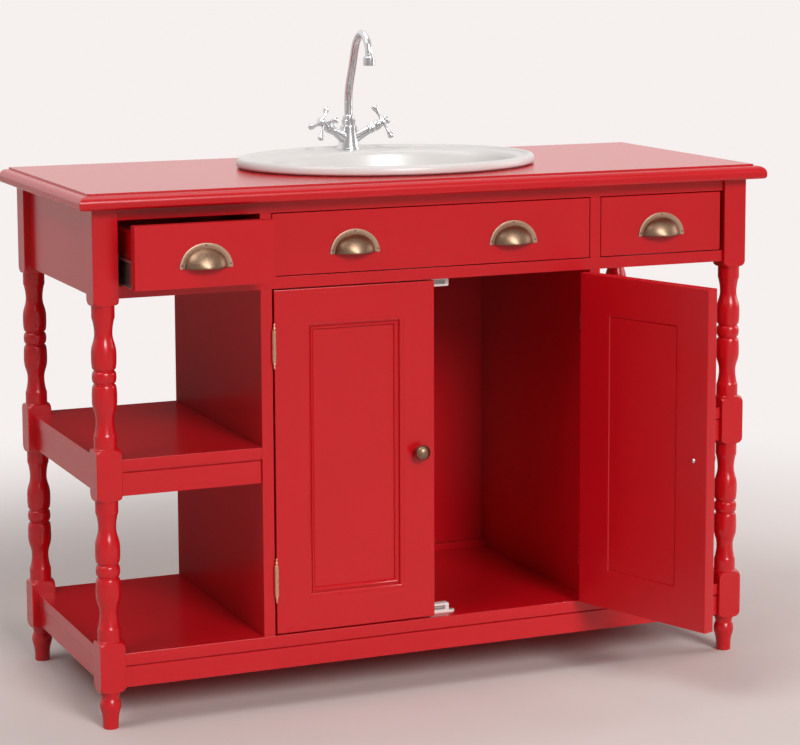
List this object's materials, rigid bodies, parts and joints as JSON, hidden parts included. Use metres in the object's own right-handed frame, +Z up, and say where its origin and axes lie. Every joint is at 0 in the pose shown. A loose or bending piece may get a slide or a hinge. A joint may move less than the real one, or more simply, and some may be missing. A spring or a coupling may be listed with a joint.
{
  "type": "vanity unit",
  "caption": "Freestanding painted washstand with turned legs, side drawers over open shelf bays, a panelled double-door cabinet, a drop-in oval basin and a swan-neck mixer.",
  "frame": {"origin": "on the floor, in the middle of the width and of the depth that the unit takes up at rest, with the left drawer drawn and the right door open", "axes": "+X to the unit's right as seen from the front, +Y to the wall behind it, +Z up; the front faces -Y"},
  "size_m": [1.2, 0.7366, 1.0736],
  "materials": {
    "red_paint": "satin red paint",
    "glazed_ceramic": "glossy white glaze",
    "chrome": "mirror chrome plate",
    "aged_brass": "antiqued, burnished",
    "hinge_brass": "lacquered",
    "runner_steel": "dark zinc plate",
    "white_plastic": "moulded"
  },
  "bodies": {
    "frame": {"leg_front_left": "red_paint", "leg_front_right": "red_paint", "leg_rear_left": "red_paint", "leg_rear_right": "red_paint", "side_panel_left": "red_paint", "side_panel_right": "red_paint", "back_rail": "red_paint", "top_rail": "red_paint", "drawer_rail": "red_paint", "cabinet_side_left": "red_paint", "cabinet_side_right": "red_paint", "cabinet_back": "red_paint", "bottom_board": "red_paint", "base_apron_front": "red_paint", "base_apron_left": "red_paint", "base_apron_right": "red_paint", "mid_shelf_left": "red_paint", "mid_shelf_right": "red_paint", "mid_apron_left": "red_paint", "mid_apron_right": "red_paint", "worktop": "red_paint", "false_front": "red_paint", "basin": "glazed_ceramic", "basin_waste": "chrome", "tap_body": "chrome", "cup_pull_centre_left": "aged_brass", "cup_pull_centre_right": "aged_brass", "runner_fixed_left_outer": "runner_steel", "runner_fixed_left_inner": "runner_steel", "runner_fixed_right_outer": "runner_steel", "runner_fixed_right_inner": "runner_steel", "hinge_fixed_left_top": "hinge_brass", "hinge_fixed_left_bottom": "hinge_brass", "hinge_fixed_right_top": "hinge_brass", "hinge_fixed_right_bottom": "hinge_brass", "catch_top": "white_plastic", "catch_bottom": "white_plastic"},
    "drawer_left": {"drawer_front_left": "red_paint", "drawer_box_left": "red_paint", "cup_pull_left": "aged_brass", "runner_slide_left_outer": "runner_steel", "runner_slide_left_inner": "runner_steel"},
    "drawer_right": {"drawer_front_right": "red_paint", "drawer_box_right": "red_paint", "cup_pull_right": "aged_brass", "runner_slide_right_outer": "runner_steel", "runner_slide_right_inner": "runner_steel"},
    "door_left": {"door_frame_left": "red_paint", "door_panel_left": "red_paint", "door_knob_left": "aged_brass", "hinge_leaf_left_top": "hinge_brass", "hinge_leaf_left_bottom": "hinge_brass"},
    "door_right": {"door_frame_right": "red_paint", "door_panel_right": "red_paint", "door_knob_right": "aged_brass", "hinge_leaf_right_top": "hinge_brass", "hinge_leaf_right_bottom": "hinge_brass"},
    "spout": {"tap_spout": "chrome"},
    "valve_left": {"tap_handle_left": "chrome"},
    "valve_right": {"tap_handle_right": "chrome"}
  },
  "joints": [
    {"name": "drawer_left_slide", "type": "slide", "parent": "frame", "child": "drawer_left", "axis": [0, -1, 0], "range_m": [-0.075, 0.205]},
    {"name": "drawer_right_slide", "type": "slide", "parent": "frame", "child": "drawer_right", "axis": [0, -1, 0], "range_m": [0, 0.28]},
    {"name": "door_left_hinge", "type": "hinge", "parent": "frame", "child": "door_left", "pos_m": [-0.2795, -0.09841, 0.4], "axis": [0, 0, -1], "range_deg": [0, 160]},
    {"name": "door_right_hinge", "type": "hinge", "parent": "frame", "child": "door_right", "pos_m": [0.2795, -0.09841, 0.4], "axis": [0, 0, 1], "range_deg": [-110, 50]},
    {"name": "spout_swivel", "type": "hinge", "parent": "frame", "child": "spout", "pos_m": [0.012, 0.31029, 0.93], "axis": [0, 0, 1], "range_deg": [-90, 90]},
    {"name": "valve_left_turn", "type": "hinge", "parent": "frame", "child": "valve_left", "pos_m": [-0.03159, 0.29326, 0.90394], "axis": [-0.8071, -0.3155, 0.499], "range_deg": [0, 90]},
    {"name": "valve_right_turn", "type": "hinge", "parent": "frame", "child": "valve_right", "pos_m": [0.05559, 0.29326, 0.90394], "axis": [-0.8071, 0.3155, -0.499], "range_deg": [0, 90]}
  ]
}
